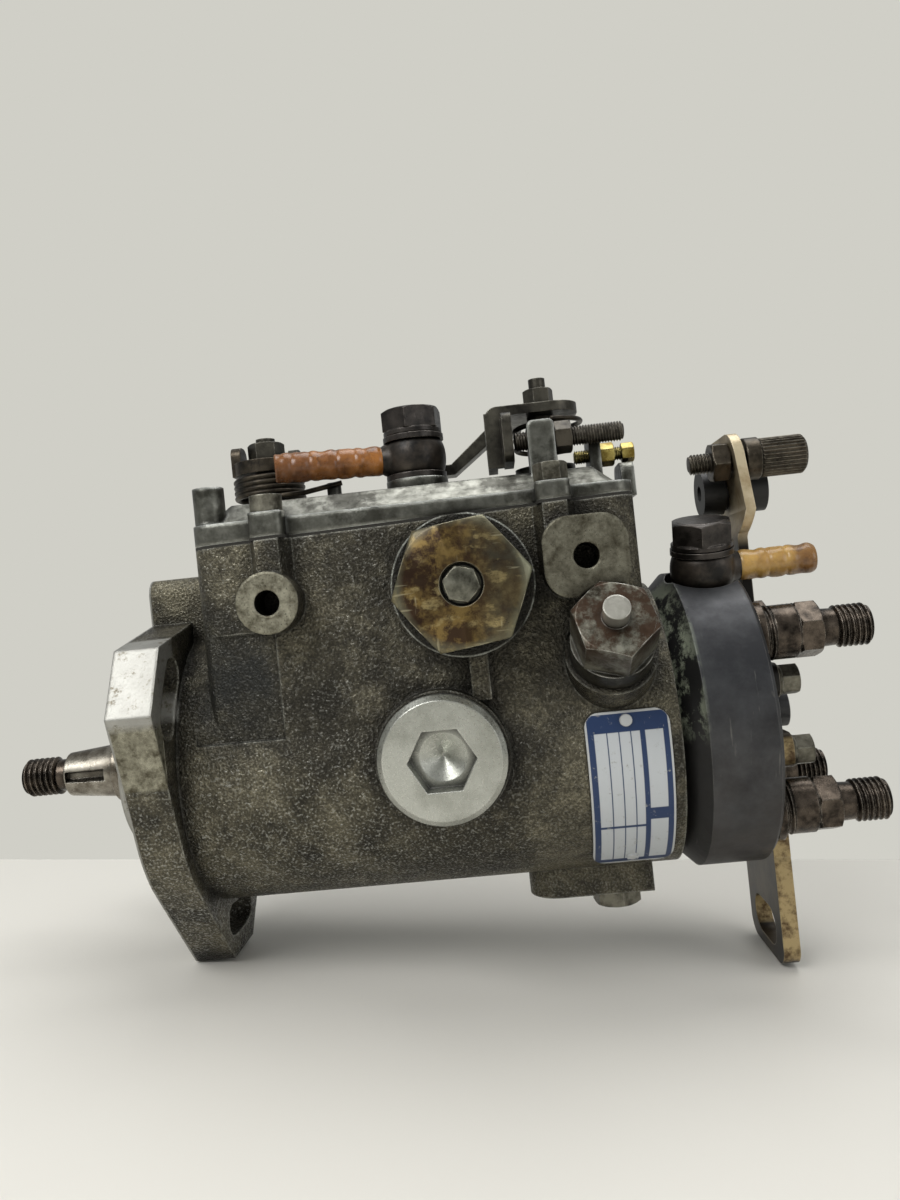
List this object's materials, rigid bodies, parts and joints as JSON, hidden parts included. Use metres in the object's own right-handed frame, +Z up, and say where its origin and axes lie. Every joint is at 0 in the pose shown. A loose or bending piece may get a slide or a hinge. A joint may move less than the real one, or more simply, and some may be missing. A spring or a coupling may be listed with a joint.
{
  "type": "diesel injection pump",
  "caption": "Rotary distributor injection pump with a slotted flange, taper drive shaft, governor cover with throttle and stop levers, hydraulic head and outlet unions.",
  "frame": {"origin": "on the shaft axis, in the plane of the flange's mounting face", "axes": "+X along the shaft from its thread to the outlets, +Z up towards the governor cover, -Y is the side with the plugs and the plate"},
  "size_m": [0.2577, 0.1223, 0.1841],
  "materials": {
    "cast_aluminium": "sand cast, oily and grey",
    "bright_aluminium": "machined, satin",
    "dark_steel": "dark phosphate finish",
    "steel": "worn bright steel",
    "hard_steel": "ground",
    "zinc": "yellow passivated zinc",
    "brass": "plain",
    "bronze": "plain bush",
    "rubber": "dull black",
    "amber_hose": "translucent aged plastic",
    "gasket": "fibre sheet",
    "plate": "blank rating plate"
  },
  "bodies": {
    "pump": {"pump_housing": "cast_aluminium", "governor_cover": "cast_aluminium", "cover_gasket": "gasket", "cover_screws": "steel", "shaft_bush": "bronze", "seals": "rubber", "hydraulic_head": "dark_steel", "transfer_liner": "hard_steel", "end_plate": "dark_steel", "end_plate_screws": "steel", "delivery_valve_holders": "steel", "valve_washers": "dark_steel", "banjo_bolts": "dark_steel", "banjo_eyes": "dark_steel", "banjo_washers": "dark_steel", "inlet_hose": "amber_hose", "return_hose": "amber_hose", "advance_cap": "zinc", "advance_plug": "zinc", "cam_plug": "bright_aluminium", "shutoff_solenoid": "steel", "head_locating_bolt": "steel", "name_plate": "plate", "rear_bracket": "zinc", "cable_bracket": "zinc", "cable_clamp_stud": "steel", "rubber_grommet": "rubber", "adjusting_screws": "brass", "stop_spring": "dark_steel", "throttle_spring": "dark_steel", "governor_spring": "dark_steel", "advance_spring": "dark_steel", "delivery_springs": "dark_steel"},
    "drive": {"drive_shaft": "steel", "flyweight_cage": "hard_steel", "distributor_rotor": "hard_steel", "transfer_rotor": "hard_steel"},
    "flyweight_1": {"flyweight_1": "steel"},
    "flyweight_2": {"flyweight_2": "steel"},
    "flyweight_3": {"flyweight_3": "steel"},
    "flyweight_4": {"flyweight_4": "steel"},
    "thrust_sleeve": {"thrust_sleeve": "hard_steel"},
    "governor_arm": {"governor_arm": "steel"},
    "governor_link": {"governor_link": "steel"},
    "metering_valve": {"metering_valve": "hard_steel"},
    "cam_ring": {"cam_ring": "hard_steel"},
    "advance_piston": {"advance_piston": "hard_steel"},
    "pumping_element_1": {"pumping_element_1": "hard_steel"},
    "pumping_element_2": {"pumping_element_2": "hard_steel"},
    "shutoff_plunger": {"shutoff_plunger": "hard_steel"},
    "throttle": {"throttle_shaft": "steel", "throttle_lever": "steel"},
    "stop": {"stop_shaft": "steel", "stop_lever": "steel"},
    "delivery_valve_1": {"delivery_valve_1": "hard_steel"},
    "delivery_valve_2": {"delivery_valve_2": "hard_steel"},
    "delivery_valve_3": {"delivery_valve_3": "hard_steel"},
    "delivery_valve_4": {"delivery_valve_4": "hard_steel"}
  },
  "joints": [
    {"name": "drive_spin", "type": "hinge", "parent": "pump", "child": "drive", "pos_m": [0, 0, 0], "axis": [1, 0, 0], "continuous": true},
    {"name": "sleeve_slide", "type": "slide", "parent": "drive", "child": "thrust_sleeve", "axis": [1, 0, 0], "range_m": [0, 0.0024], "stiffness_N_per_m": 200, "springref_m": -0.003},
    {"name": "flyweight_1_swing", "type": "hinge", "parent": "drive", "child": "flyweight_1", "pos_m": [0.033, 0, 0.026], "axis": [0, -1, 0], "range_deg": [0, 11.01]},
    {"name": "flyweight_2_swing", "type": "hinge", "parent": "drive", "child": "flyweight_2", "pos_m": [0.033, -0.026, 0], "axis": [0, 0, -1], "range_deg": [0, 11.01]},
    {"name": "flyweight_3_swing", "type": "hinge", "parent": "drive", "child": "flyweight_3", "pos_m": [0.033, 0, -0.026], "axis": [0, 1, 0], "range_deg": [0, 11.01]},
    {"name": "flyweight_4_swing", "type": "hinge", "parent": "drive", "child": "flyweight_4", "pos_m": [0.033, 0.026, 0], "axis": [0, 0, 1], "range_deg": [0, 11.01]},
    {"name": "governor_arm_swing", "type": "hinge", "parent": "pump", "child": "governor_arm", "pos_m": [0.06, 0, 0.033], "axis": [0, -1, 0], "range_deg": [0, 4.2]},
    {"name": "governor_link_slide", "type": "slide", "parent": "pump", "child": "governor_link", "axis": [-1, 0, 0], "range_m": [0, 0.0024]},
    {"name": "metering_valve_turn", "type": "hinge", "parent": "pump", "child": "metering_valve", "pos_m": [0.119, 0.012, 0.04], "axis": [0, 0, 1], "range_deg": [0, 17.5]},
    {"name": "cam_ring_turn", "type": "hinge", "parent": "pump", "child": "cam_ring", "pos_m": [0.095, 0, 0], "axis": [1, 0, 0], "range_deg": [-4, 4], "stiffness_Nm_per_rad": 2},
    {"name": "advance_slide", "type": "slide", "parent": "pump", "child": "advance_piston", "axis": [0, -1, 0], "range_m": [-0.0033, 0.0033], "deforming": ["advance_spring"]},
    {"name": "pumping_element_1_slide", "type": "slide", "parent": "drive", "child": "pumping_element_1", "axis": [0, 0, 1], "range_m": [0, 0.002]},
    {"name": "pumping_element_2_slide", "type": "slide", "parent": "drive", "child": "pumping_element_2", "axis": [0, 0, -1], "range_m": [0, 0.002]},
    {"name": "shutoff_lift", "type": "slide", "parent": "pump", "child": "shutoff_plunger", "axis": [0, -0.866, 0.5], "range_m": [0, 0.0015], "stiffness_N_per_m": 200, "springref_m": -0.004},
    {"name": "throttle_turn", "type": "hinge", "parent": "pump", "child": "throttle", "pos_m": [0.122, -0.01, 0.09], "axis": [0, 0, 1], "range_deg": [-45, 0], "stiffness_Nm_per_rad": 0.15, "springref_deg": 34.38},
    {"name": "stop_turn", "type": "hinge", "parent": "pump", "child": "stop", "pos_m": [0.0355, 0, 0.085], "axis": [0, 0, 1], "range_deg": [0, 40], "stiffness_Nm_per_rad": 0.1, "springref_deg": -34.38},
    {"name": "delivery_valve_1_lift", "type": "slide", "parent": "pump", "child": "delivery_valve_1", "axis": [1, 0, 0], "range_m": [0, 0.0015], "stiffness_N_per_m": 100, "springref_m": -0.004},
    {"name": "delivery_valve_2_lift", "type": "slide", "parent": "pump", "child": "delivery_valve_2", "axis": [1, 0, 0], "range_m": [0, 0.0015], "stiffness_N_per_m": 100, "springref_m": -0.004},
    {"name": "delivery_valve_3_lift", "type": "slide", "parent": "pump", "child": "delivery_valve_3", "axis": [1, 0, 0], "range_m": [0, 0.0015], "stiffness_N_per_m": 100, "springref_m": -0.004},
    {"name": "delivery_valve_4_lift", "type": "slide", "parent": "pump", "child": "delivery_valve_4", "axis": [1, 0, 0], "range_m": [0, 0.0015], "stiffness_N_per_m": 100, "springref_m": -0.004}
  ],
  "couplings": [
    {"joint": "flyweight_1_swing", "follows": "sleeve_slide", "rad_per_m": 80},
    {"joint": "flyweight_2_swing", "follows": "sleeve_slide", "rad_per_m": 80},
    {"joint": "flyweight_3_swing", "follows": "sleeve_slide", "rad_per_m": 80},
    {"joint": "flyweight_4_swing", "follows": "sleeve_slide", "rad_per_m": 80},
    {"joint": "governor_arm_swing", "follows": "sleeve_slide", "rad_per_m": 30.303},
    {"joint": "governor_link_slide", "follows": "sleeve_slide", "ratio": 1},
    {"joint": "metering_valve_turn", "follows": "sleeve_slide", "rad_per_m": 125},
    {"joint": "advance_slide", "follows": "cam_ring_turn", "m_per_rad": 0.0465}
  ]
}
